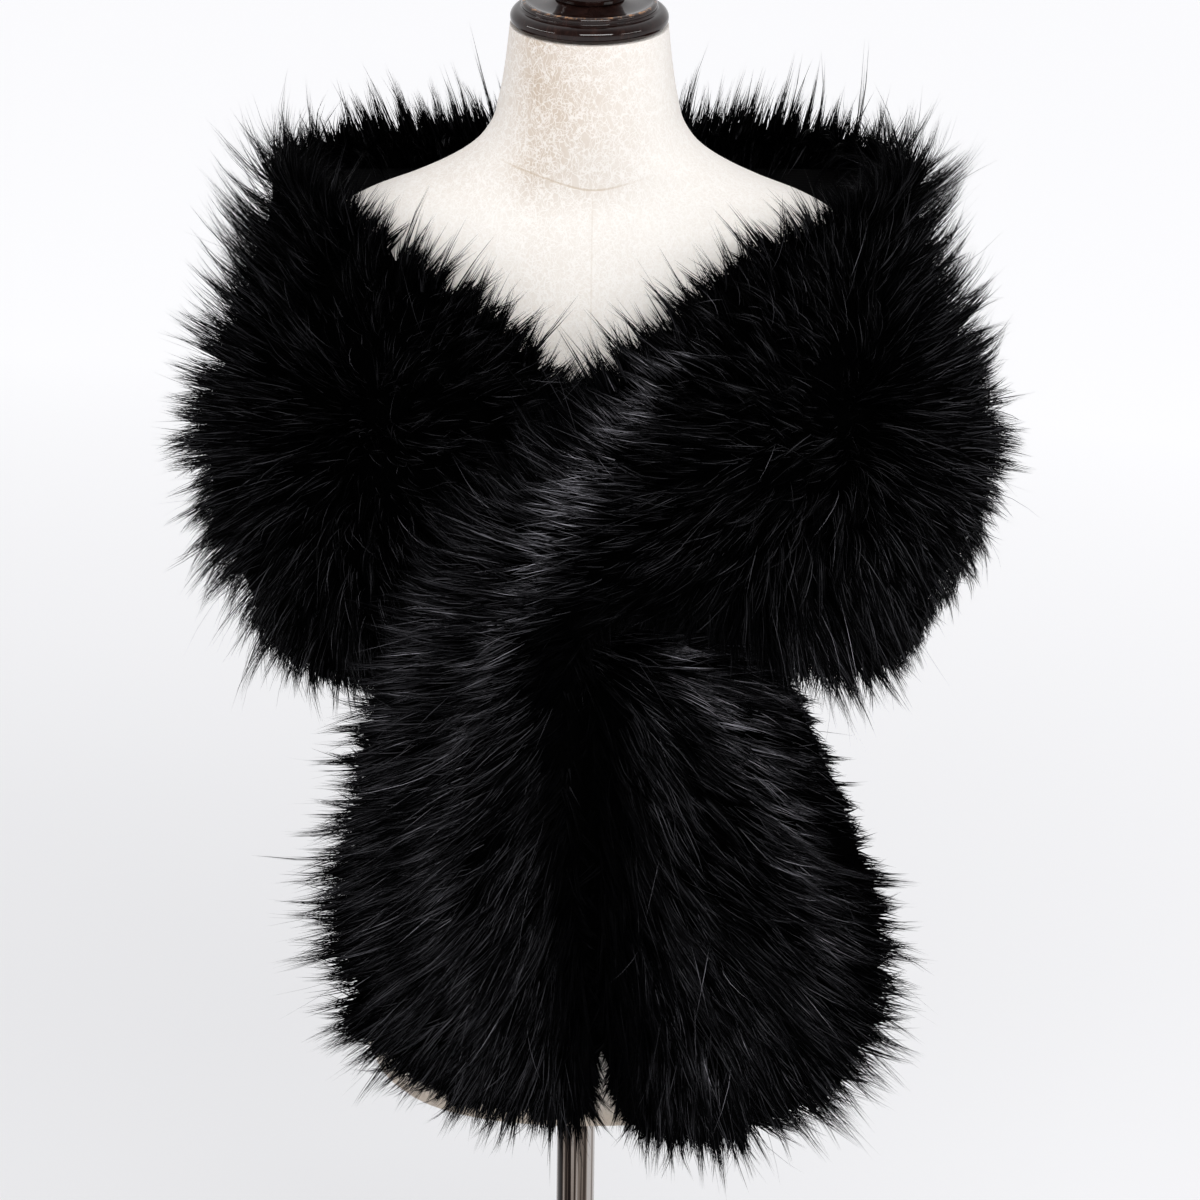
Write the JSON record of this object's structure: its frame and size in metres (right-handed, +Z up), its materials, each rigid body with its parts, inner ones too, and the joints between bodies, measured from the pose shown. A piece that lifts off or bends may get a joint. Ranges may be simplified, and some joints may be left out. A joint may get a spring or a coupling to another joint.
{
  "type": "fur collar wrap on a limbless dress form",
  "caption": "Long-haired black faux fur stole worn as a collar wrap, crossed on the chest with rounded tails, on a cloth-covered limbless dress form with turned cap, pole and round base.",
  "frame": {"origin": "centre of the stand base's underside, on the pole's axis", "axes": "+Z up along the pole, -Y towards the front of the form, where the stole crosses, +X towards the right as seen from the front"},
  "size_m": [0.558, 0.3576, 1.185],
  "materials": {
    "fur": "long glossy black pile",
    "backing": "matt black knitted backing",
    "form_cover": "matt ivory cover with pale fibres",
    "wood": "polished dark mahogany",
    "metal": "polished"
  },
  "bodies": {
    "root": {"base_plate": "metal", "base_hub": "metal", "pole": "metal", "pole_flange": "metal", "form_body": "form_cover", "neck_cap": "wood", "finial": "wood", "cloth_tail_right": "backing", "cloth_crossing_under": "backing", "cloth_shoulder_left": "backing", "cloth_back": "backing", "cloth_shoulder_right": "backing", "cloth_crossing_over": "backing", "cloth_tail_left": "backing", "fur_tail_right": "fur", "fur_crossing_under": "fur", "fur_shoulder_left": "fur", "fur_back": "fur", "fur_shoulder_right": "fur", "fur_crossing_over": "fur", "fur_tail_left": "fur"}
  },
  "joints": []
}
